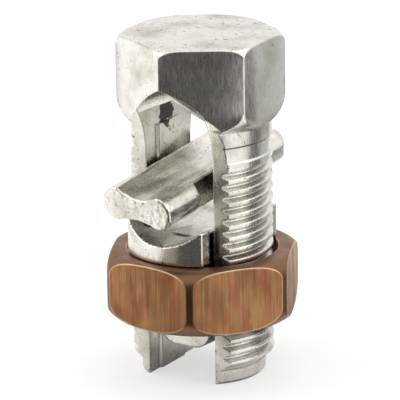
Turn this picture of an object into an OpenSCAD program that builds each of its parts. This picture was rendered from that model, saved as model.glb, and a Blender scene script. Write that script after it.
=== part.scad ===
// Split bolt connector: a slotted hex-head bolt, its nut, a pressure bar that the
// nut pushes up between the bolt's legs, and a loose spacer bar between two wires.
// The bolt stands on its leg ends at z = 0. X runs from leg to leg, Y along the wires.

/* [Bolt body] */
// Height from the leg ends to the top of the head
body_h = 46.8; // [45:0.1:56]
// Outside diameter over the legs' thread, which is left plain here
thread_d = 19.05; // [17:0.05:19.3]
// Height at which the full thread diameter ends
thread_top = 30.9; // [28:0.1:31]
// Diameter of the plain tips under the thread
tip_d = 16.7; // [15.5:0.1:18.4]
// Height of those tips
tip_h = 1.9; // [1:0.1:3]
// Bevel on the ends of the tips
tip_bevel = 0.4; // [0.1:0.1:0.8]
// Diameter of the plain shank above the thread
shank_d = 18.7; // [17.5:0.05:19]
// Diameter of the collar under the head
collar_d = 19; // [17.5:0.05:19.3]
// Height of the collar under the head
collar_h = 2; // [1:0.1:3]

/* [Head] */
// Width of the head across its flats
head_af = 19.6; // [19.4:0.1:21]
// Diameter over the head's corners
head_corner_d = 22.6; // [21.5:0.1:23]
// Height of the head's straight side
head_side_h = 8.3; // [7:0.1:9]
// Radius of the round under the head
head_under_r = 4; // [3:0.1:4.5]
// Radius of the round at the head's top corners
head_edge_r = 1.3; // [0.4:0.1:2]

/* [Slot] */
// Width of the slot between the legs
slot_w = 10.2; // [9.8:0.1:10.8]
// Depth of each leg along the wires
leg_d = 12; // [11:0.1:12.6]
// Height of the slot's walls
slot_h = 37; // [35:0.1:38]
// Rise of the pitched roof from the walls to the middle
roof_rise = 2.3; // [1:0.1:3]
// Radius of the bell mouth at each end of the roof
mouth_r = 4; // [3:0.1:5]
// Rise of the bell mouth over the roof
mouth_rise = 1.8; // [1:0.1:3]
// Height at which the legs start to flare into the head
flare_z = 30.9; // [28:0.1:32]
// Radius of that flare
flare_r = 10.5; // [9:0.5:14]
// Width of the guide rib inside each leg
rib_w = 6; // [4:0.1:8]
// Height of the guide rib over the leg's inner face
rib_t = 0.35; // [0.1:0.05:0.5]
// Height at which the guide rib ends
rib_top = 34.3; // [31:0.1:35]

/* [Nut] */
// Width of the nut across its flats
nut_af = 24.3; // [23.5:0.1:26]
// Diameter over the nut's rounded corners
nut_corner_d = 27.5; // [26.5:0.1:29]
// Height of the nut
nut_h = 9.4; // [8:0.1:11]
// Radius of the round along the nut's top corners
nut_edge_r = 2.2; // [1:0.1:4]
// Radius of the round along the nut's bottom corners
nut_under_r = 3.2; // [1:0.1:4]
// Height of the nut above the leg ends
nut_z = 7.85; // [6:0.05:8]
// Angle of the nut from the head
nut_turn = 21.7; // [0:0.1:60]
// Bevel at both ends of the nut's bore
bore_bevel = 0.7; // [0.3:0.1:1.2]

/* [Pressure bar] */
// Width of the bar's two pads
pad_w = 12.3; // [11:0.1:13]
// Radius of the pads' end faces about the bolt's axis
pad_reach = 10.6; // [10:0.1:11.2]
// Radius of the pads' corners, seen from above
pad_corner_r = 0.8; // [0.3:0.1:1.2]
// Metal under the lowest line of the saddle
saddle_floor = 2.4; // [1.5:0.1:4]
// Radius of the saddle
saddle_r = 8.5; // [7.5:0.1:12]
// Bevel along the saddle's two rims
rim_bevel = 0.5; // [0.2:0.1:0.8]
// Length of the bar's tail along the wires
tail_l = 9.2; // [7:0.1:11]
// Drop of the tail under the nut
tail_drop = 3.7; // [2:0.1:5]
// Radius of the tail's lower corners
tail_r = 2.6; // [1:0.1:3.2]

/* [Spacer bar] */
// Length of the spacer
spacer_l = 29.2; // [27:0.1:32]
// Width of its two ends
spacer_w = 11; // [10.6:0.1:12]
// Thickness along its edges
spacer_t = 4.6; // [3:0.1:5]
// Depth of the hollow along its top
spacer_dip = 1; // [0.4:0.1:1.3]
// Depth of the hollow along its underside
spacer_under_dip = 0.6; // [0.4:0.1:1.3]
// Radius of the cast corners at its far end, seen from above
spacer_end_r = 4; // [1.5:0.1:4.5]
// Distance from its middle to each of its wide ends
spacer_notch = 7.7; // [7.5:0.1:9]
// Offset of its middle along the wires
spacer_shift = 0.15; // [-1:0.05:1]
// Height of its middle above the leg ends
spacer_z = 27.7; // [26:0.1:28]
// Tilt of the spacer, with its far end up
spacer_tilt = 7; // [0:0.5:7]
// Roll of the spacer in the slot's play, with its -X edge up
spacer_roll = 4; // [0:0.5:4]

/* [Fits] */
// Running gap between the legs and the nut, on the radius
thread_gap = 0.08; // [0.02:0.01:0.1]
// Gap between the nut and the bar that it carries
seat_gap = 0.05; // [0.02:0.01:0.1]
// Sliding gap between the bars and the legs
slot_gap = 0.25; // [0.15:0.05:0.5]
// Gap between the pads and the sides of the legs
pad_gap = 0.1; // [0.05:0.05:0.5]
// Turn of both bars in the slot's play
bar_swing = 6.5; // [0:0.5:8]

/* [Hidden] */
$fn = 72;
// Overrun of a cutting tool past the metal
over = 1;
// Reach of a cutting tool that clears the whole connector
clear = 2 * body_h;
thread_r = thread_d / 2;
corner_r = head_corner_d / 2;
leg_y = leg_d / 2;
wall_x = slot_w / 2;
roof_z = slot_h + roof_rise;
roof_angle = atan(roof_rise / wall_x);
head_side_z = body_h - head_side_h;
// Height at which the round under the head meets the collar
neck_dx = collar_d / 2 - (corner_r - head_under_r);
neck_z = head_side_z - sqrt(head_under_r ^ 2 - neck_dx ^ 2);
nut_top = nut_z + nut_h;
bar_z = nut_top + seat_gap;
// Half width that still clears the walls and ribs when the bar has swung
neck_at_rib = wall_x - rib_t - slot_gap - (rib_w / 2 + rib_t) * sin(bar_swing);
neck_at_wall = wall_x - slot_gap - leg_y * sin(bar_swing);
bar_neck_x = min(neck_at_rib, neck_at_wall) / cos(bar_swing);
// Distance from the bar's middle at which its pads clear the swung legs
pad_y = leg_y / cos(bar_swing) + pad_w / 2 * tan(bar_swing) + pad_gap;
// Middle of the round that joins a pad's end face to its side
corner_x = pad_w / 2 - pad_corner_r;
corner_y = sqrt((pad_reach - pad_corner_r / 2) ^ 2 - corner_x ^ 2);
saddle_z = bar_z + saddle_floor;
rim_z = saddle_z + saddle_r - sqrt(saddle_r ^ 2 - (pad_w / 2) ^ 2);
tail_z = nut_z - tail_drop;
lobe_r = spacer_t / 2;
lobe_x = spacer_w / 2 - lobe_r;
// Radius of a hollow that runs between the two round edges
function hollow_r(dip) = (lobe_x ^ 2 + dip ^ 2) / (2 * dip);

// Hexagon with corners on +Y and -Y
module hex_prism(af, h) {
    rotate(90) cylinder(d = af / cos(30), h = h, $fn = 6);
}

// Half section of a disc with a rounded rim above and below
module rounded_disc(r, h, top_r, under_r) {
    translate([0, under_r]) square([r, h - top_r - under_r]);
    square([r - under_r, under_r + over / 2]);
    translate([0, h - top_r - over / 2]) square([r - top_r, top_r + over / 2]);
    translate([r - under_r, under_r]) circle(under_r);
    translate([r - top_r, h - top_r]) circle(top_r);
}

// Half section of the turned blank: legs, shank, collar and head
module blank_section() {
    polygon([
        [0, 0],
        [tip_d / 2 - tip_bevel, 0],
        [tip_d / 2, tip_bevel],
        [tip_d / 2, tip_h],
        [thread_r, tip_h + (thread_r - tip_d / 2)],
        [thread_r, thread_top],
        [shank_d / 2, thread_top + (thread_r - shank_d / 2)],
        [shank_d / 2, neck_z - collar_h],
        [collar_d / 2, neck_z - collar_h],
        [collar_d / 2, neck_z],
        [collar_d / 2, head_side_z],
        [0, head_side_z]
    ]);
    translate([corner_r - head_under_r, head_side_z]) circle(head_under_r);
    translate([0, head_side_z]) square([corner_r, head_side_h - head_edge_r]);
    translate([0, head_side_z]) square([corner_r - head_edge_r, head_side_h]);
    translate([corner_r - head_edge_r, body_h - head_edge_r]) circle(head_edge_r);
}

// Guide rib on both inner faces, with sloping sides
module ribs() {
    for (side = [-1, 1]) scale([side, 1, 1]) linear_extrude(rib_top) polygon([
        [wall_x + over, -rib_w / 2 - rib_t - over],
        [wall_x - rib_t, -rib_w / 2],
        [wall_x - rib_t, rib_w / 2],
        [wall_x + over, rib_w / 2 + rib_t + over]
    ]);
}

// Straight slot with a pitched roof, open along Y
module slot_void() {
    rotate([90, 0, 0]) linear_extrude(clear, center = true) polygon([
        [-wall_x, -over],
        [wall_x, -over],
        [wall_x, slot_h],
        [0, roof_z],
        [-wall_x, slot_h]
    ]);
}

// Bell mouths that lift the roof at both ends of the slot
module mouth_void() {
    mouth_z = roof_z + mouth_rise - mouth_r;
    for (side = [-1, 1]) intersection() {
        translate([side * wall_x / 2, 0, 0]) cube([wall_x, clear, 2 * body_h], center = true);
        for (end = [-1, 1]) translate([0, end * corner_r, mouth_z])
            rotate([0, 90 + side * roof_angle, 0])
                cylinder(r = mouth_r, h = 2 * slot_w, center = true);
    }
}

// Everything beyond the flat sides of the legs, with the flare under the head
module side_void() {
    for (end = [0, 180]) rotate(end) rotate([90, 0, 90])
        linear_extrude(clear, center = true) {
            translate([leg_y, -over]) square([clear, flare_z + over]);
            translate([leg_y + flare_r, flare_z]) circle(flare_r);
        }
}

module bolt_body() {
    color("silver") difference() {
        intersection() {
            rotate_extrude() blank_section();
            hex_prism(head_af, body_h);
        }
        difference() {
            slot_void();
            ribs();
        }
        mouth_void();
        side_void();
    }
}

module nut() {
    bore_r = thread_r + thread_gap;
    color("peru") translate([0, 0, nut_z]) rotate(nut_turn) difference() {
        intersection() {
            rotate_extrude() rounded_disc(nut_corner_d / 2, nut_h, nut_edge_r, nut_under_r);
            hex_prism(nut_af, nut_h);
        }
        translate([0, 0, -over]) cylinder(r = bore_r, h = nut_h + 2 * over);
        translate([0, 0, -over])
            cylinder(r1 = bore_r + bore_bevel + over, r2 = bore_r, h = bore_bevel + over);
        translate([0, 0, nut_h - bore_bevel])
            cylinder(r1 = bore_r, r2 = bore_r + bore_bevel + over, h = bore_bevel + over);
    }
}

// Outline of the bar above the nut: two pads and the neck between the legs
module bar_outline() {
    intersection() {
        circle(pad_reach);
        union() {
            square([2 * bar_neck_x, 2 * pad_reach], center = true);
            for (end = [-1, 1]) translate([0, end * (pad_y + clear / 2)])
                square([pad_w, clear], center = true);
        }
        union() {
            square([pad_w, 2 * corner_y], center = true);
            square([2 * corner_x, 2 * pad_reach], center = true);
            for (end = [-1, 1], side = [-1, 1])
                translate([side * corner_x, end * corner_y]) circle(pad_corner_r);
        }
    }
}

// Tail that runs down through the nut, with round lower corners
module bar_tail() {
    rotate([90, 0, 0]) linear_extrude(tail_l, center = true) {
        translate([-bar_neck_x, tail_z + tail_r]) square([2 * bar_neck_x, bar_z - tail_z]);
        translate([-bar_neck_x + tail_r, tail_z]) square([2 * (bar_neck_x - tail_r), tail_r]);
        for (side = [-1, 1])
            translate([side * (bar_neck_x - tail_r), tail_z + tail_r]) circle(tail_r);
    }
}

module pressure_bar() {
    color("silver") rotate(-bar_swing) {
        difference() {
            translate([0, 0, bar_z]) linear_extrude(rim_z - bar_z) bar_outline();
            translate([0, 0, saddle_z + saddle_r]) rotate([90, 0, 0])
                cylinder(r = saddle_r, h = clear, center = true);
            for (side = [-1, 1]) translate([side * pad_w / 2, 0, rim_z]) rotate([0, 45, 0])
                cube([rim_bevel * sqrt(2), clear, rim_bevel * sqrt(2)], center = true);
        }
        bar_tail();
    }
}

// Section of the spacer: round edges and a hollow above and below
module spacer_section() {
    difference() {
        union() {
            square([2 * lobe_x, spacer_t], center = true);
            for (side = [-1, 1]) translate([side * lobe_x, 0]) circle(lobe_r);
        }
        translate([0, lobe_r - spacer_dip + hollow_r(spacer_dip)])
            circle(hollow_r(spacer_dip));
        translate([0, spacer_under_dip - lobe_r - hollow_r(spacer_under_dip)])
            circle(hollow_r(spacer_under_dip));
    }
}

// Outline of the spacer: wide ends, a neck between the legs, one rounded end
module spacer_outline() {
    intersection() {
        translate([0, -spacer_shift]) union() {
            square([2 * bar_neck_x, clear], center = true);
            for (end = [-1, 1]) translate([0, end * (spacer_notch + clear / 2)])
                square([spacer_w, clear], center = true);
        }
        union() {
            translate([-spacer_w / 2, -spacer_l / 2]) square([spacer_w, spacer_l - spacer_end_r]);
            translate([spacer_end_r - spacer_w / 2, -spacer_l / 2])
                square([spacer_w - 2 * spacer_end_r, spacer_l]);
            for (side = [-1, 1])
                translate([side * (spacer_w / 2 - spacer_end_r), spacer_l / 2 - spacer_end_r])
                    circle(spacer_end_r);
        }
    }
}

module spacer_bar() {
    color("gainsboro") translate([0, 0, spacer_z])
        rotate(-bar_swing) rotate([spacer_tilt, spacer_roll, 0])
        translate([0, spacer_shift, 0]) intersection() {
            rotate([90, 0, 0]) linear_extrude(spacer_l, center = true) spacer_section();
            linear_extrude(spacer_t, center = true) spacer_outline();
        }
}

bolt_body();
nut();
pressure_bar();
spacer_bar();
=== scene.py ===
"""Dresses the split bolt connector: cut threads, soft cast edges and finishes, with painted shade, a
painted dark reflection and painted edge highlights in them.
"""

import math

import bmesh
import bpy
from mathutils import Matrix, Vector, noise


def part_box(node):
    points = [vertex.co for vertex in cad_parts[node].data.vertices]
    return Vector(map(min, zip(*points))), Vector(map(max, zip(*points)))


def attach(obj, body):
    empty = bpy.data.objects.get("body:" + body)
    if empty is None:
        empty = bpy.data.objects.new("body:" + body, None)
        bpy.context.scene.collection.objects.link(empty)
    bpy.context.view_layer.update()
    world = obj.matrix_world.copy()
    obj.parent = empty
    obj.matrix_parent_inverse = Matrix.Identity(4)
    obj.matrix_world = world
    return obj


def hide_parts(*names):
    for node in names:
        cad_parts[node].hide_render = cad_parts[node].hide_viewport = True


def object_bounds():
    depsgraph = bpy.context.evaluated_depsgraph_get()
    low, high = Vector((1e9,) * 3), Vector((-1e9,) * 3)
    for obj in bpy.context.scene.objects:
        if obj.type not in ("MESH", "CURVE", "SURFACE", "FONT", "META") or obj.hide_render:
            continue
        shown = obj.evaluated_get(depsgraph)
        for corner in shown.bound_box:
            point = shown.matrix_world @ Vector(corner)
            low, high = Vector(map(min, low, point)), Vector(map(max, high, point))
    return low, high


bl_info = {
    "name": "Split bolt connector dresser",
    "version": (1, 0, 0),
    "blender": (4, 5, 0),
    "location": "3D View > Sidebar > Connector",
    "description": "Builds the threads, cast bars, nut and studio of a split bolt connector",
    "category": "Object",
}

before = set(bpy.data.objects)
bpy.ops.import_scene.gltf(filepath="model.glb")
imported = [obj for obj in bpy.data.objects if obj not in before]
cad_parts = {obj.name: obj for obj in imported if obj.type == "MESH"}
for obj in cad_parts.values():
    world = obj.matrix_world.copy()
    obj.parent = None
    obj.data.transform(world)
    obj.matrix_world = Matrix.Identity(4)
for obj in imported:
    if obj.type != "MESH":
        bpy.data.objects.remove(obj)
CAD_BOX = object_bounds()
MM = 0.001
NUT_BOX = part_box("nut")
# Angles of the nut and of the spacer, in degrees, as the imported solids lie
NUT_TURN = 21.7
SPACER_TURNS = (("X", 7), ("Y", 4), ("Z", -6.5))
# Places, in millimetres
NUT_HALF_AF = 12.15
SPACER_MIDDLE = (0, 0, 27.7)
# Middle of the painted shade, a dark patch standing in for the shade in the hollow at the slot's root
HOLLOW_SHADE_MIDDLE = (-4.9, -0.6, 35.6)
COLLAR_SEAM = (33.1, 9.2)
# Slope of a thread's flank, and how far the tools overrun the metal, in millimetres
FLANK = math.tan(math.radians(30))
OVERRUN = 0.08


# ---------------------------------------------------------------- shared helpers


def linear(code):
    """Turns an sRGB hex code into a linear colour."""
    parts = [int(code[i : i + 2], 16) / 255 for i in (1, 3, 5)]
    return [p / 12.92 if p <= 0.04045 else ((p + 0.055) / 1.055) ** 2.4 for p in parts] + [1.0]


def add(tree, kind, feeds=None, out=None, **settings):
    """Adds a node with its settings, feeds its inputs, and returns it or one output."""
    made = tree.nodes.new(kind)
    for name, value in settings.items():
        setattr(made, name, value)
    for key, value in (feeds or {}).items():
        if isinstance(value, bpy.types.NodeSocket):
            tree.links.new(value, made.inputs[key])
        else:
            made.inputs[key].default_value = value
    return made if out is None else made.outputs[out]


def new_material(name):
    """Starts a node material and returns it with its tree and its shader."""
    material = bpy.data.materials.new(name)
    material.use_nodes = True
    tree = material.node_tree
    tree.nodes.clear()
    shader = add(tree, "ShaderNodeBsdfPrincipled")
    add(tree, "ShaderNodeOutputMaterial", {"Surface": shader.outputs[0]})
    return material, tree, shader


def in_mm(tree, turn=0.0):
    """Object coordinates in millimetres, turned about Z by an angle."""
    place = add(tree, "ShaderNodeTexCoord", out="Object")
    return add(
        tree,
        "ShaderNodeMapping",
        {"Vector": place, "Scale": (1000, 1000, 1000), "Rotation": (0, 0, -turn)},
        out=0,
    )


def copy_of_node(node_name, piece_name):
    """A merged copy of a CAD node's mesh, in millimetres, as a new object."""
    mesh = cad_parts[node_name].data.copy()
    mesh.name = piece_name
    mesh.materials.clear()
    for layer in ("custom_normal", "sharp_edge", "sharp_face"):
        if layer in mesh.attributes:
            mesh.attributes.remove(mesh.attributes[layer])
    work = bmesh.new()
    work.from_mesh(mesh)
    bmesh.ops.scale(work, vec=(1 / MM, 1 / MM, 1 / MM), verts=work.verts)
    bmesh.ops.remove_doubles(work, verts=work.verts, dist=0.002)
    bmesh.ops.dissolve_degenerate(work, edges=work.edges, dist=0.001)
    work.to_mesh(mesh)
    work.free()
    piece = bpy.data.objects.new(piece_name, mesh)
    bpy.context.scene.collection.objects.link(piece)
    return piece


def settle(piece):
    """Applies the piece's modifiers, so that it is a plain mesh."""
    graph = bpy.context.evaluated_depsgraph_get()
    mesh = bpy.data.meshes.new_from_object(piece.evaluated_get(graph))
    old = piece.data
    piece.modifiers.clear()
    piece.data = mesh
    mesh.name = piece.name
    if old.users == 0:
        bpy.data.meshes.remove(old)


def shade(piece, sharp, least=1.2, level=0.99998):
    """Shades curves smooth up to an angle, and every plane wider than least mm flat.

    Faces are of one plane while the cosine between them stays over level.
    """
    work = bmesh.new()
    work.from_mesh(piece.data)
    seen = set()
    for face in sorted(work.faces, key=lambda item: -item.calc_area()):
        if face.index in seen:
            continue
        seen.add(face.index)
        plane = [face]
        for member in plane:
            for edge in member.edges:
                for other in edge.link_faces:
                    if other.index not in seen and other.normal.dot(face.normal) > level:
                        seen.add(other.index)
                        plane.append(other)
        across = face.normal.cross(Vector((0, 0, 1)))
        if across.length < 0.1:
            across = Vector((1, 0, 0))
        across.normalize()
        along = face.normal.cross(across)
        spots = [vert.co for member in plane for vert in member.verts]
        spans = [
            max(spot.dot(way) for spot in spots) - min(spot.dot(way) for spot in spots)
            for way in (across, along)
        ]
        for member in plane:
            member.smooth = min(spans) < least
    work.to_mesh(piece.data)
    work.free()
    piece.data.set_sharp_from_angle(angle=sharp)


def dress(piece, material, body, node_name, sharp=None):
    """Finishes a piece's shading, brings it to metres and hands it to the frame."""
    if sharp is None:
        piece.data.shade_smooth()
    else:
        shade(piece, sharp)
    piece.data.transform(Matrix.Scale(MM, 4))
    piece.data.materials.clear()
    piece.data.materials.append(material)
    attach(piece, body)
    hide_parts(node_name)


# ---------------------------------------------------------------- sizes and finishes


class ThreadSizes(bpy.types.PropertyGroup):
    """Sizes of the bolt's and the nut's thread, in millimetres."""

    pitch: bpy.props.FloatProperty(
        name="Pitch", description="Height of one turn, mm", default=1.5875, min=0.5
    )
    outer: bpy.props.FloatProperty(
        name="Outer radius", description="Radius of the crests, mm", default=9.525, min=1
    )
    depth: bpy.props.FloatProperty(
        name="Depth", description="Depth of the groove, mm", default=0.78, min=0.1
    )
    crest: bpy.props.FloatProperty(
        name="Crest", description="Width of a crest, mm", default=0.46, min=0.05
    )
    start: bpy.props.FloatProperty(
        name="Start", description="Height where the groove starts, mm", default=0.9
    )
    end: bpy.props.FloatProperty(
        name="End", description="Height where the groove has run out, mm", default=30.9
    )
    steps: bpy.props.IntProperty(
        name="Steps", description="Corners in one turn", default=72, min=24
    )


class FinishColours(bpy.types.PropertyGroup):
    """Colours of the plating and of the bare metal."""

    tin: bpy.props.StringProperty(
        name="Tin", description="Bright tin plate, sRGB hex", default="#e9e7df"
    )
    tin_warm: bpy.props.StringProperty(
        name="Warm tin", description="Thin or handled plating, sRGB hex", default="#a9a28c"
    )
    # Dark colour of the pits and of the painted shade in corners
    grime_and_shade: bpy.props.StringProperty(
        name="Grime", description="Dark film in corners, sRGB hex", default="#3a3228"
    )
    # Colour of the painted shade in the hollow at the slot's root
    hollow_shade: bpy.props.StringProperty(
        name="Stain", description="Flux and oxide left in the slot, sRGB hex", default="#4b3d3f"
    )
    bronze: bpy.props.StringProperty(
        name="Bronze", description="Bare bronze, sRGB hex", default="#ab8057"
    )
    bronze_dark: bpy.props.StringProperty(
        name="Dark bronze", description="Oxidised bronze, sRGB hex", default="#68492f"
    )
    # Colour of the painted dark reflection on the nut's turned faces outside the flats
    bronze_turned_reflection: bpy.props.StringProperty(
        name="Turned bronze", description="Oxide on the turned faces, sRGB hex", default="#7a5946"
    )
    bronze_red: bpy.props.StringProperty(
        name="Red bronze", description="Copper-red blotches, sRGB hex", default="#a5684e"
    )
    # Colour of the edges: rubbed bright, and a painted highlight
    bronze_edge_wear_and_highlight: bpy.props.StringProperty(
        name="Bright edge", description="Metal rubbed bright on edges, sRGB hex", default="#e6c09c"
    )


class StudioSizes(bpy.types.PropertyGroup):
    """Place and lens of the camera."""

    azimuth: bpy.props.FloatProperty(
        name="Azimuth", description="Camera's angle round the part, degrees", default=29.6
    )
    elevation: bpy.props.FloatProperty(
        name="Elevation", description="Camera's angle over the floor, degrees", default=16.566
    )
    roll: bpy.props.FloatProperty(
        name="Roll", description="Turn of the camera about its view, degrees", default=-0.784
    )
    distance: bpy.props.FloatProperty(
        name="Distance", description="Camera to part", default=0.59, unit="LENGTH"
    )
    lens: bpy.props.FloatProperty(
        name="Lens", description="Focal length on a 36 mm sensor, mm", default=394.6
    )
    target: bpy.props.FloatVectorProperty(
        name="Target", description="Point the camera looks at", unit="LENGTH",
        default=(-0.0002565, -0.0001457, 0.023556),
    )


# ---------------------------------------------------------------- finishes


def tin_plate(
    name, colours, grain, rough=0.26, shade_reach=0.005, hollow_shade=None, seam=None, pitted_above=None
):
    """Bright tin plate over bronze: a soft mirror with fine grain, scuffs, and painted shade in its
    corners.

    grain is the stretch of the brushing, in lines per millimetre along X, Y and Z. shade_reach is
    how far from a wall, in metres, the painted shade in corners reaches. hollow_shade is the middle
    of a ragged dark patch of painted shade in a hollow, seam the height and least radius of a turned
    line drawn dark, and pitted_above the height over which the casting's skin is full of dark pits,
    all in millimetres.
    """
    material, tree, shader = new_material(name)
    place = in_mm(tree)
    # Plating varies over patches of about 4 mm where it is thin or has been handled
    patches = add(
        tree, "ShaderNodeTexNoise", {"Vector": place, "Scale": 0.25, "Detail": 4.0}, out="Fac"
    )
    patch_mask = add(
        tree, "ShaderNodeMapRange", {0: patches, 1: 0.48, 2: 0.75, 4: 0.7}, out=0
    )
    stretched = add(tree, "ShaderNodeMapping", {"Vector": place, "Scale": grain}, out=0)
    # Brushing lines, drawn a little coarser than the real 0.05 mm so that they show
    lines = add(
        tree, "ShaderNodeTexNoise", {"Vector": stretched, "Scale": 1.0, "Detail": 3.0}, out="Fac"
    )
    pits = add(
        tree, "ShaderNodeTexNoise", {"Vector": place, "Scale": 2.6, "Detail": 2.0}, out="Fac"
    )
    pit_mask = add(tree, "ShaderNodeMapRange", {0: pits, 1: 0.68, 2: 0.74}, out=0)
    height = add(tree, "ShaderNodeSeparateXYZ", {0: place}, out="Z")
    # A turned line at the collar's height is drawn dark, in the pits' colour
    if seam:
        over_seam = add(
            tree, "ShaderNodeMath", {0: height, 1: seam[0]},
            out=0, operation="SUBTRACT",
        )
        off_seam = add(tree, "ShaderNodeMath", {0: over_seam}, out=0, operation="ABSOLUTE")
        near_seam = add(tree, "ShaderNodeMapRange", {0: off_seam, 1: 0.18, 2: 0.06, 4: 0.8}, out=0)
        flat = add(
            tree, "ShaderNodeVectorMath", {0: place, 1: (1, 1, 0)},
            out=0, operation="MULTIPLY",
        )
        radius = add(tree, "ShaderNodeVectorMath", {0: flat}, out="Value", operation="LENGTH")
        outside = add(
            tree, "ShaderNodeMath", {0: radius, 1: seam[1]},
            out=0, operation="GREATER_THAN",
        )
        in_seam = add(
            tree, "ShaderNodeMath", {0: near_seam, 1: outside},
            out=0, operation="MULTIPLY",
        )
        pit_mask = add(
            tree, "ShaderNodeMath", {0: pit_mask, 1: in_seam},
            out=0, operation="MAXIMUM",
        )
    if pitted_above:
        flecks = add(
            tree, "ShaderNodeTexNoise",
            {"Vector": place, "Scale": 1.9, "Detail": 3.0, "Distortion": 1.2},
            out="Fac",
        )
        fleck_mask = add(tree, "ShaderNodeMapRange", {0: flecks, 1: 0.62, 2: 0.68}, out=0)
        above = add(
            tree, "ShaderNodeMath", {0: height, 1: pitted_above},
            out=0, operation="GREATER_THAN",
        )
        on_top = add(tree, "ShaderNodeMath", {0: fleck_mask, 1: above}, out=0, operation="MULTIPLY")
        pit_mask = add(tree, "ShaderNodeMath", {0: pit_mask, 1: on_top}, out=0, operation="MAXIMUM")
    # Painted shade: the colour is darkened where ambient occlusion finds corners and hollows
    corners = add(
        tree, "ShaderNodeAmbientOcclusion", {"Distance": shade_reach}, out="AO", samples=8
    )
    corner_mask = add(
        tree, "ShaderNodeMapRange", {0: corners, 1: 0.55, 2: 0.0, 3: 0.0, 4: 0.8}, out=0
    )
    base = add(
        tree,
        "ShaderNodeMix",
        {0: patch_mask, 6: linear(colours.tin), 7: linear(colours.tin_warm)},
        out=2,
        data_type="RGBA",
    )
    streak = add(tree, "ShaderNodeMapRange", {0: lines, 1: 0.3, 2: 0.75, 3: 1.0, 4: 0.88}, out=0)
    streaked = add(
        tree, "ShaderNodeMix", {0: 1.0, 6: base, 7: streak}, out=2,
        data_type="RGBA", blend_type="MULTIPLY",
    )
    # Painted shade mixed into the corners
    corner_shaded = add(
        tree, "ShaderNodeMix", {0: corner_mask, 6: streaked, 7: linear(colours.grime_and_shade)}, out=2,
        data_type="RGBA",
    )
    pitted = add(
        tree, "ShaderNodeMix", {0: pit_mask, 6: corner_shaded, 7: linear(colours.grime_and_shade)}, out=2,
        data_type="RGBA",
    )
    # Painted shade: a ragged dark patch where the hollow at the slot's root lies in shade
    if hollow_shade:
        off = add(
            tree, "ShaderNodeVectorMath", {0: place, 1: hollow_shade},
            out="Value", operation="DISTANCE",
        )
        blots = add(
            tree, "ShaderNodeTexNoise", {"Vector": place, "Scale": 0.9, "Detail": 5.0},
            out="Fac",
        )
        ragged = add(
            tree, "ShaderNodeMath", {0: blots, 1: 6.0, 2: off},
            out=0, operation="MULTIPLY_ADD",
        )
        hollow_shade_mask = add(tree, "ShaderNodeMapRange", {0: ragged, 1: 5.2, 2: 4.8}, out=0)
        pitted = add(
            tree, "ShaderNodeMix", {0: hollow_shade_mask, 6: pitted, 7: linear(colours.hollow_shade)}, out=2,
            data_type="RGBA",
        )
    tree.links.new(pitted, shader.inputs["Base Color"])
    shader.inputs["Metallic"].default_value = 1.0
    dull = add(
        tree, "ShaderNodeMapRange", {0: lines, 1: 0.3, 2: 0.7, 3: rough - 0.08, 4: rough + 0.1},
        out=0,
    )
    tree.links.new(dull, shader.inputs["Roughness"])
    soft = add(tree, "ShaderNodeBevel", {"Radius": 0.00026}, out=0, samples=8)
    fine = add(
        tree, "ShaderNodeBump",
        {"Height": lines, "Strength": 0.06, "Distance": 0.00003, "Normal": soft},
        out=0,
    )
    waves = add(
        tree, "ShaderNodeTexNoise", {"Vector": place, "Scale": 0.6, "Detail": 2.0}, out="Fac"
    )
    cast = add(
        tree, "ShaderNodeBump",
        {"Height": waves, "Strength": 0.2, "Distance": 0.00005, "Normal": fine},
        out=0,
    )
    pitting = add(
        tree, "ShaderNodeBump",
        {"Height": pit_mask, "Strength": 0.6, "Distance": 0.00003, "Normal": cast},
        out=0, invert=True,
    )
    tree.links.new(pitting, shader.inputs["Normal"])
    return material


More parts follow.
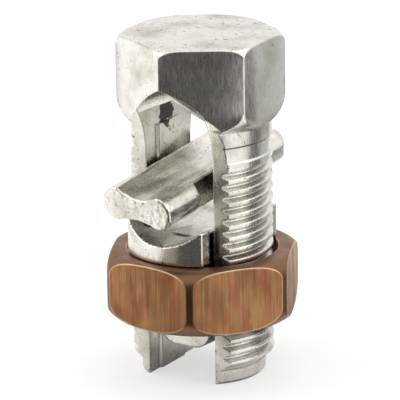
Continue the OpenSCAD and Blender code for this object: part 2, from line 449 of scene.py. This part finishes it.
def bare_bronze(name, colours, turn, half_af):
    """Drawn bronze bar, cut into a nut: vertical die lines on its flats, which lie half_af
    from the axis, a painted dark reflection in darker brown on its turned faces, and edges
    rubbed bright with a painted highlight.
    """
    material, tree, shader = new_material(name)
    place = in_mm(tree, turn)
    drawn = add(tree, "ShaderNodeMapping", {"Vector": place, "Scale": (4.2, 4.2, 0.09)}, out=0)
    lines = add(
        tree, "ShaderNodeTexNoise", {"Vector": drawn, "Scale": 1.0, "Detail": 4.0, "Roughness": 0.7},
        out="Fac",
    )
    long_patch = add(tree, "ShaderNodeMapping", {"Vector": place, "Scale": (0.4, 0.4, 0.16)}, out=0)
    patches = add(
        tree, "ShaderNodeTexNoise", {"Vector": long_patch, "Scale": 1.0, "Detail": 4.0}, out="Fac"
    )
    reds = add(
        tree, "ShaderNodeTexNoise", {"Vector": long_patch, "Scale": 1.7, "Detail": 3.0, "W": 3.0},
        out="Fac", noise_dimensions="4D",
    )
    dark_mask = add(tree, "ShaderNodeMapRange", {0: lines, 1: 0.46, 2: 0.72, 3: 0.0, 4: 0.8}, out=0)
    red_mask = add(tree, "ShaderNodeMapRange", {0: reds, 1: 0.47, 2: 0.62, 3: 0.0, 4: 0.8}, out=0)
    patch_mask = add(
        tree, "ShaderNodeMapRange", {0: patches, 1: 0.42, 2: 0.72, 3: 0.0, 4: 0.5},
        out=0,
    )
    reddened = add(
        tree, "ShaderNodeMix", {0: red_mask, 6: linear(colours.bronze), 7: linear(colours.bronze_red)},
        out=2, data_type="RGBA",
    )
    patched = add(
        tree, "ShaderNodeMix", {0: patch_mask, 6: reddened, 7: linear(colours.bronze_dark)},
        out=2, data_type="RGBA",
    )
    lined = add(
        tree, "ShaderNodeMix", {0: dark_mask, 6: patched, 7: linear(colours.bronze_dark)},
        out=2, data_type="RGBA",
    )
    # Painted dark reflection: faces beyond the flats, the turned corners and rim, are coloured darker
    # brown
    reach = 0.0
    for step in range(3):
        way = (math.cos(math.radians(60 * step)), math.sin(math.radians(60 * step)), 0)
        dot = add(
            tree, "ShaderNodeVectorMath", {0: place, 1: way},
            out="Value", operation="DOT_PRODUCT",
        )
        near = add(tree, "ShaderNodeMath", {0: dot}, out=0, operation="ABSOLUTE")
        reach = add(tree, "ShaderNodeMath", {0: near, 1: reach}, out=0, operation="MAXIMUM")
    turned = add(
        tree, "ShaderNodeMapRange", {0: reach, 1: half_af - 0.02, 2: half_af - 0.14, 4: 0.8}, out=0
    )
    lined = add(
        tree, "ShaderNodeMix", {0: turned, 6: lined, 7: linear(colours.bronze_turned_reflection)},
        out=2, data_type="RGBA",
    )
    # Edges, where the bevelled normal parts from the true one, get a pale colour: rubbed bright and a
    # painted highlight
    soft = add(tree, "ShaderNodeBevel", {"Radius": 0.0003}, out=0, samples=8)
    true_normal = add(tree, "ShaderNodeNewGeometry", out="Normal")
    agreement = add(
        tree, "ShaderNodeVectorMath", {0: soft, 1: true_normal}, out="Value", operation="DOT_PRODUCT"
    )
    edge_mask = add(tree, "ShaderNodeMapRange", {0: agreement, 1: 0.996, 2: 0.965, 4: 0.9}, out=0)
    edged = add(
        tree, "ShaderNodeMix", {0: edge_mask, 6: lined, 7: linear(colours.bronze_edge_wear_and_highlight)},
        out=2, data_type="RGBA",
    )
    tree.links.new(edged, shader.inputs["Base Color"])
    shader.inputs["Metallic"].default_value = 1.0
    dull = add(tree, "ShaderNodeMapRange", {0: patches, 1: 0.3, 2: 0.7, 3: 0.36, 4: 0.52}, out=0)
    tree.links.new(dull, shader.inputs["Roughness"])
    fine = add(
        tree, "ShaderNodeBump",
        {"Height": lines, "Strength": 0.3, "Distance": 0.00005, "Normal": soft},
        out=0,
    )
    tree.links.new(fine, shader.inputs["Normal"])
    return material


# ---------------------------------------------------------------- thread


def helix_tree():
    """Geometry Nodes that lay one closed helical body along a thread."""
    tree = bpy.data.node_groups.new("Helical body", "GeometryNodeTree")
    face = tree.interface
    face.new_socket("Geometry", in_out="OUTPUT", socket_type="NodeSocketGeometry")
    for name, kind in (
        ("Start height", "NodeSocketFloat"),
        ("Pitch", "NodeSocketFloat"),
        ("Turns", "NodeSocketFloat"),
        ("Base radius", "NodeSocketFloat"),
        ("Tip radius", "NodeSocketFloat"),
        ("Base width", "NodeSocketFloat"),
        ("Tip width", "NodeSocketFloat"),
        ("Fade turns", "NodeSocketFloat"),
        ("Phase", "NodeSocketFloat"),
        ("Steps", "NodeSocketInt"),
        ("Finish", "NodeSocketMaterial"),
    ):
        face.new_socket(name, in_out="INPUT", socket_type=kind)
    given = add(tree, "NodeGroupInput").outputs
    rows = add(
        tree, "ShaderNodeMath", {0: given["Turns"], 1: given["Steps"]},
        out=0, operation="MULTIPLY",
    )
    grid = add(
        tree, "GeometryNodeMeshGrid",
        {"Size X": 1.0, "Size Y": 1.0, "Vertices X": rows, "Vertices Y": 5},
    ).outputs[0]
    spot = add(tree, "GeometryNodeInputPosition", out=0)
    split = add(tree, "ShaderNodeSeparateXYZ", {0: spot})
    along = add(tree, "ShaderNodeMath", {0: split.outputs["X"], 1: 0.5}, out=0, operation="ADD")
    turn = add(tree, "ShaderNodeMath", {0: along, 1: given["Turns"]}, out=0, operation="MULTIPLY")
    left = add(tree, "ShaderNodeMath", {0: given["Turns"], 1: turn}, out=0, operation="SUBTRACT")
    near_end = add(tree, "ShaderNodeMath", {0: turn, 1: left}, out=0, operation="MINIMUM")
    fade = add(tree, "ShaderNodeMapRange", {0: near_end, 1: 0.0, 2: given["Fade turns"]}, out=0)
    # Corners 0 to 3 run round the section and corner 4 closes it: 1 and 2 are at the tip
    tip_gap = add(tree, "ShaderNodeMath", {0: split.outputs["Y"], 1: 0.125}, out=0, operation="ADD")
    tip_far = add(tree, "ShaderNodeMath", {0: tip_gap}, out=0, operation="ABSOLUTE")
    at_tip = add(tree, "ShaderNodeMath", {0: tip_far, 1: 0.2}, out=0, operation="LESS_THAN")
    side_gap = add(
        tree, "ShaderNodeMath", {0: split.outputs["Y"], 1: -0.125},
        out=0, operation="ADD",
    )
    side_far = add(tree, "ShaderNodeMath", {0: side_gap}, out=0, operation="ABSOLUTE")
    upper = add(tree, "ShaderNodeMath", {0: side_far, 1: 0.2}, out=0, operation="LESS_THAN")
    side = add(tree, "ShaderNodeMapRange", {0: upper, 3: -0.5, 4: 0.5}, out=0)
    reach = add(tree, "ShaderNodeMath", {0: at_tip, 1: fade}, out=0, operation="MULTIPLY")
    radius = add(
        tree, "ShaderNodeMapRange", {0: reach, 3: given["Base radius"], 4: given["Tip radius"]}, out=0
    )
    width = add(
        tree, "ShaderNodeMapRange", {0: at_tip, 3: given["Base width"], 4: given["Tip width"]}, out=0
    )
    faded = add(tree, "ShaderNodeMath", {0: width, 1: fade}, out=0, operation="MULTIPLY")
    lift = add(tree, "ShaderNodeMath", {0: faded, 1: side}, out=0, operation="MULTIPLY")
    climb = add(tree, "ShaderNodeMath", {0: turn, 1: given["Pitch"]}, out=0, operation="MULTIPLY")
    level = add(
        tree, "ShaderNodeMath", {0: climb, 1: given["Start height"]},
        out=0, operation="ADD",
    )
    height = add(tree, "ShaderNodeMath", {0: level, 1: lift}, out=0, operation="ADD")
    shifted = add(tree, "ShaderNodeMath", {0: turn, 1: given["Phase"]}, out=0, operation="ADD")
    angle = add(tree, "ShaderNodeMath", {0: shifted, 1: math.tau}, out=0, operation="MULTIPLY")
    cosine = add(tree, "ShaderNodeMath", {0: angle}, out=0, operation="COSINE")
    sine = add(tree, "ShaderNodeMath", {0: angle}, out=0, operation="SINE")
    x = add(tree, "ShaderNodeMath", {0: cosine, 1: radius}, out=0, operation="MULTIPLY")
    y = add(tree, "ShaderNodeMath", {0: sine, 1: radius}, out=0, operation="MULTIPLY")
    point = add(tree, "ShaderNodeCombineXYZ", {0: x, 1: y, 2: height}, out=0)
    laid = add(tree, "GeometryNodeSetPosition", {"Geometry": grid, "Position": point}, out=0)
    closed = add(tree, "GeometryNodeMergeByDistance", {"Geometry": laid, "Distance": 0.0005}, out=0)
    real = add(tree, "GeometryNodeRealizeInstances", {0: closed}, out=0)
    dressed = add(
        tree, "GeometryNodeSetMaterial", {"Geometry": real, "Material": given["Finish"]}, out=0
    )
    add(tree, "NodeGroupOutput", {0: dressed})
    return tree


def helical_body(name, sizes):
    """A closed helical mesh in millimetres, made by the tree from named sizes."""
    holder = bpy.data.objects.new(name, bpy.data.meshes.new(name))
    bpy.context.scene.collection.objects.link(holder)
    tree = bpy.data.node_groups.get("Helical body") or helix_tree()
    maker = holder.modifiers.new("Helix", "NODES")
    maker.node_group = tree
    for socket in tree.interface.items_tree:
        if socket.in_out == "INPUT" and socket.name in sizes:
            maker[socket.identifier] = sizes[socket.name]
    settle(holder)
    work = bmesh.new()
    work.from_mesh(holder.data)
    bmesh.ops.recalc_face_normals(work, faces=work.faces)
    work.to_mesh(holder.data)
    work.free()
    return holder


def combine(piece, tool, operation):
    """Cuts or joins a closed tool into a piece and removes the tool."""
    cut = piece.modifiers.new("Cut", "BOOLEAN")
    cut.object = tool
    cut.operation = operation
    cut.solver = "EXACT"
    settle(piece)
    bpy.data.objects.remove(tool)


# ---------------------------------------------------------------- pieces


class CONNECTOR_OT_bolt(bpy.types.Operator):
    """Make the bolt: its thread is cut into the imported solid"""

    bl_idname = "connector.bolt"
    bl_label = "Slotted bolt"

    def execute(self, context):
        """Cut the thread and finish the bolt."""
        sizes = context.scene.connector_thread
        bolt = copy_of_node("bolt_body", "bolt")
        groove = sizes.pitch - sizes.crest
        tool = helical_body(
            "thread_groove",
            {
                "Start height": sizes.start,
                "Pitch": sizes.pitch,
                "Turns": (sizes.end - sizes.start) / sizes.pitch,
                "Base radius": sizes.outer + OVERRUN,
                "Tip radius": sizes.outer - sizes.depth,
                "Base width": groove + 2 * OVERRUN * FLANK,
                "Tip width": groove - 2 * sizes.depth * FLANK,
                "Fade turns": 0.6,
                "Phase": 0.0,
                "Steps": sizes.steps,
            },
        )
        combine(bolt, tool, "DIFFERENCE")
        # The bolt's finish has painted shade in its corners and in the hollow at the slot's root
        material = tin_plate(
            "Bright tin plate, brushed", context.scene.connector_colours, (9.0, 9.0, 0.6),
            hollow_shade=HOLLOW_SHADE_MIDDLE, seam=COLLAR_SEAM, pitted_above=CAD_BOX[1][2] / MM - 0.1,
        )
        dress(bolt, material, "bolt", "bolt_body", sharp=math.radians(32))
        return {"FINISHED"}


class CONNECTOR_OT_nut(bpy.types.Operator):
    """Make the nut, with its inner thread in the bolt's grooves"""

    bl_idname = "connector.nut"
    bl_label = "Bronze nut"

    def execute(self, context):
        """Add the thread ridge and finish the nut."""
        sizes = context.scene.connector_thread
        nut = copy_of_node("nut", "bronze_nut")
        inset = 0.9
        low = NUT_BOX[0][2] / MM + inset
        high = NUT_BOX[1][2] / MM - inset
        ridge_depth = 0.75
        seat = 0.15
        play = 0.2
        ridge = sizes.pitch - sizes.crest - play
        tool = helical_body(
            "thread_ridge",
            {
                "Start height": low,
                "Pitch": sizes.pitch,
                "Turns": (high - low) / sizes.pitch,
                "Base radius": sizes.outer + seat,
                "Tip radius": sizes.outer - ridge_depth,
                "Base width": ridge,
                "Tip width": ridge - 2 * ridge_depth * FLANK,
                "Fade turns": 0.3,
                "Phase": (low - sizes.start) / sizes.pitch,
                "Steps": sizes.steps,
            },
        )
        combine(nut, tool, "UNION")
        material = bare_bronze(
            "Bare bronze, drawn", context.scene.connector_colours,
            math.radians(NUT_TURN), NUT_HALF_AF,
        )
        dress(nut, material, "nut", "nut", sharp=math.radians(24))
        return {"FINISHED"}


def cast_bar(node_name, piece_name, grain_mm, rounds):
    """A cast bar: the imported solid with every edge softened."""
    bar = copy_of_node(node_name, piece_name)
    remesh = bar.modifiers.new("Skin", "REMESH")
    remesh.mode = "VOXEL"
    remesh.voxel_size = grain_mm
    soften = bar.modifiers.new("Soft edges", "SMOOTH")
    soften.factor = 0.5
    soften.iterations = rounds
    settle(bar)
    return bar


def shape_spacer_ends(spacer):
    """Makes the near end rough and a little proud, as sheared, and the far end a round nose."""
    shear_start, shear_length, shear_proud, grit = -12.8, 1.2, 0.35, 0.05
    nose_start, nose_length, nose_back, nose_slim = 11.3, 3.4, 0.7, 0.88
    axis = Vector((0, 1, 0))
    for letter, angle in SPACER_TURNS:
        axis = Matrix.Rotation(math.radians(angle), 3, letter) @ axis
    middle = Vector(SPACER_MIDDLE)
    for vertex in spacer.data.vertices:
        reach = (vertex.co - middle).dot(axis)
        sheared = min(max((shear_start - reach) / shear_length, 0), 1)
        nose = min(max((reach - nose_start) / nose_length, 0), 1)
        if sheared > 0:
            rough = noise.fractal(vertex.co * 1.6, 0.8, 2.0, 4) * grit
            vertex.co += (vertex.normal * rough - axis * shear_proud) * sheared
        if nose > 0:
            centre = middle + axis * reach
            slim = math.sqrt(1 - (nose_slim * nose) ** 2)
            vertex.co = centre + (vertex.co - centre) * slim - axis * nose_back * nose


class CONNECTOR_OT_bars(bpy.types.Operator):
    """Make the pressure bar and the spacer bar, with cast edges"""

    bl_idname = "connector.bars"
    bl_label = "Cast bars"

    def execute(self, context):
        """Soften both bars and finish them."""
        colours = context.scene.connector_colours
        saddle = cast_bar("pressure_bar", "pressure_saddle", 0.15, 4)
        # The bars' painted shade reaches farther into their corners, which darkens the saddle
        plate = tin_plate("Bright tin plate, tumbled", colours, (3.0, 0.5, 3.0), 0.24, shade_reach=0.007)
        dress(saddle, plate, "bar", "pressure_bar")
        spacer = cast_bar("spacer_bar", "loose_spacer", 0.15, 14)
        shape_spacer_ends(spacer)
        dress(spacer, plate, "spacer", "spacer_bar")
        return {"FINISHED"}


# ---------------------------------------------------------------- studio


def card(name, low_angle, high_angle, colour, profile):
    """A card that only reflections see, bent round the part; profile is (radius, height)s."""
    work = bmesh.new()
    count = 24
    columns = []
    for i in range(count + 1):
        angle = math.radians(low_angle + (high_angle - low_angle) * i / count)
        way = Vector((math.cos(angle), math.sin(angle), 0))
        columns.append([work.verts.new(way * r + Vector((0, 0, z))) for r, z in profile])
    for near, far in zip(columns, columns[1:]):
        for i in range(len(profile) - 1):
            work.faces.new((near[i], far[i], far[i + 1], near[i + 1]))
    mesh = bpy.data.meshes.new(name)
    work.to_mesh(mesh)
    work.free()
    board = bpy.data.objects.new(name, mesh)
    bpy.context.scene.collection.objects.link(board)
    material, tree, shader = new_material(name)
    glow = add(tree, "ShaderNodeEmission", {"Color": linear(colour), "Strength": 1.0}, out=0)
    out = next(n for n in tree.nodes if n.type == "OUTPUT_MATERIAL")
    tree.links.new(glow, out.inputs["Surface"])
    tree.nodes.remove(shader)
    mesh.materials.append(material)
    board.visible_camera = False
    board.visible_diffuse = False
    board.visible_shadow = False
    board.visible_transmission = False


class CONNECTOR_OT_stage(bpy.types.Operator):
    """Make the floor, the lamps, the cards, the world and the camera"""

    bl_idname = "connector.stage"
    bl_label = "Studio"

    def execute(self, context):
        """Set the studio round the part."""
        scene = context.scene
        sizes = scene.connector_studio
        floor_mesh = bpy.data.meshes.new("floor")
        work = bmesh.new()
        bmesh.ops.create_grid(work, x_segments=1, y_segments=1, size=3.0)
        work.to_mesh(floor_mesh)
        work.free()
        floor = bpy.data.objects.new("floor", floor_mesh)
        scene.collection.objects.link(floor)
        floor.location.z = CAD_BOX[0][2] - 0.00002
        material, tree, shader = new_material("Pale paper")
        shader.inputs["Base Color"].default_value = linear("#fafafa")
        shader.inputs["Roughness"].default_value = 0.9
        glow = add(tree, "ShaderNodeEmission", {"Color": (1, 1, 1, 1), "Strength": 1.0}, out=0)
        rays = add(tree, "ShaderNodeLightPath")
        share = add(
            tree, "ShaderNodeMath", {0: rays.outputs["Is Camera Ray"], 1: 0.6}, out=0,
            operation="MULTIPLY",
        )
        blend = add(tree, "ShaderNodeMixShader", {0: share, 1: shader.outputs[0], 2: glow}, out=0)
        out = next(n for n in tree.nodes if n.type == "OUTPUT_MATERIAL")
        tree.links.new(blend, out.inputs["Surface"])
        floor_mesh.materials.append(material)

        world = bpy.data.worlds.new("Studio")
        scene.world = world
        world.use_nodes = True
        tree = world.node_tree
        tree.nodes.clear()
        rays = add(tree, "ShaderNodeLightPath")
        seen = add(
            tree, "ShaderNodeMath",
            {0: rays.outputs["Is Camera Ray"], 1: rays.outputs["Is Glossy Ray"]}, out=0,
            operation="MAXIMUM",
        )
        seen_all = add(
            tree, "ShaderNodeMath", {0: seen, 1: rays.outputs["Is Transmission Ray"]}, out=0,
            operation="MAXIMUM",
        )
        strength = add(tree, "ShaderNodeMapRange", {0: seen_all, 3: 0.9, 4: 1.0}, out=0)
        sky = add(
            tree, "ShaderNodeBackground", {"Color": (1, 1, 1, 1), "Strength": strength},
            out=0,
        )
        add(tree, "ShaderNodeOutputWorld", {"Surface": sky})

        floor_part = ((0.02, 0.0004), (0.1, 0.0004))
        card("front_card", -98, -38, "#4f4f4e", (*floor_part, (0.1, 0.004)))
        card("front_wall", -100, -24, "#4f4f4e", ((0.1, 0.004), (0.1, 0.06)))
        card("left_card", -120, -98, "#a8a294", (*floor_part, (0.1, 0.04)))
        card("side_card", 18, 46, "#585858", (*floor_part, (0.1, 0.03)))
        card("back_card", 46, 80, "#c4c7c6", (*floor_part, (0.1, 0.035)))

        for name, spot, size, power in (
            ("key_lamp", (-0.45, -0.25, 0.5), 0.35, 1.2),
            ("fill_lamp", (0.55, 0.1, 0.35), 0.4, 0.8),
            ("top_lamp", (0.0, 0.2, 0.7), 0.5, 1.0),
        ):
            lamp = bpy.data.lights.new(name, "AREA")
            lamp.size = size
            lamp.energy = power
            holder = bpy.data.objects.new(name, lamp)
            scene.collection.objects.link(holder)
            holder.location = spot
            aim = Vector((0, 0, 0.025)) - Vector(spot)
            holder.rotation_euler = aim.to_track_quat("-Z", "Y").to_euler()

        turn = math.radians(sizes.azimuth)
        rise = math.radians(sizes.elevation)
        back = Vector(
            (math.sin(turn) * math.cos(rise), -math.cos(turn) * math.cos(rise), math.sin(rise))
        )
        right = Vector((math.cos(turn), math.sin(turn), 0))
        up = back.cross(right)
        roll = math.radians(sizes.roll)
        rolled_right = right * math.cos(roll) + up * math.sin(roll)
        rolled_up = up * math.cos(roll) - right * math.sin(roll)
        lens = bpy.data.cameras.new("camera")
        lens.lens = sizes.lens
        lens.sensor_width = 36.0
        lens.clip_start = 0.01
        lens.clip_end = 20.0
        camera = bpy.data.objects.new("camera", lens)
        scene.collection.objects.link(camera)
        camera.matrix_world = Matrix.LocRotScale(
            Vector(sizes.target) + back * sizes.distance,
            Matrix((rolled_right, rolled_up, back)).transposed(),
            None,
        )
        scene.camera = camera
        scene.view_settings.view_transform = "Standard"
        return {"FINISHED"}


class CONNECTOR_PT_panel(bpy.types.Panel):
    """Sizes, colours and steps of the connector"""

    bl_idname = "CONNECTOR_PT_panel"
    bl_label = "Split bolt connector"
    bl_space_type = "VIEW_3D"
    bl_region_type = "UI"
    bl_category = "Connector"

    def draw(self, context):
        """List the steps and their settings."""
        for step in STEPS:
            self.layout.operator(step.bl_idname)
        for name in SETTINGS:
            box = self.layout.box()
            group = getattr(context.scene, name)
            for entry in group.__annotations__:
                box.prop(group, entry)


SETTINGS = {
    "connector_thread": ThreadSizes,
    "connector_colours": FinishColours,
    "connector_studio": StudioSizes,
}
STEPS = (CONNECTOR_OT_bolt, CONNECTOR_OT_nut, CONNECTOR_OT_bars, CONNECTOR_OT_stage)
CLASSES = (*SETTINGS.values(), *STEPS, CONNECTOR_PT_panel)


def register():
    """Register the classes and hang the settings on the scene."""
    for item in CLASSES:
        bpy.utils.register_class(item)
    for name, group in SETTINGS.items():
        setattr(bpy.types.Scene, name, bpy.props.PointerProperty(type=group))


def unregister():
    """Take the settings and the classes away."""
    for name in SETTINGS:
        delattr(bpy.types.Scene, name)
    for item in reversed(CLASSES):
        bpy.utils.unregister_class(item)


def main():
    """Build the connector."""
    register()
    bpy.ops.connector.bolt()
    bpy.ops.connector.nut()
    bpy.ops.connector.bars()
    bpy.ops.connector.stage()


if __name__ == "__main__":
    main()
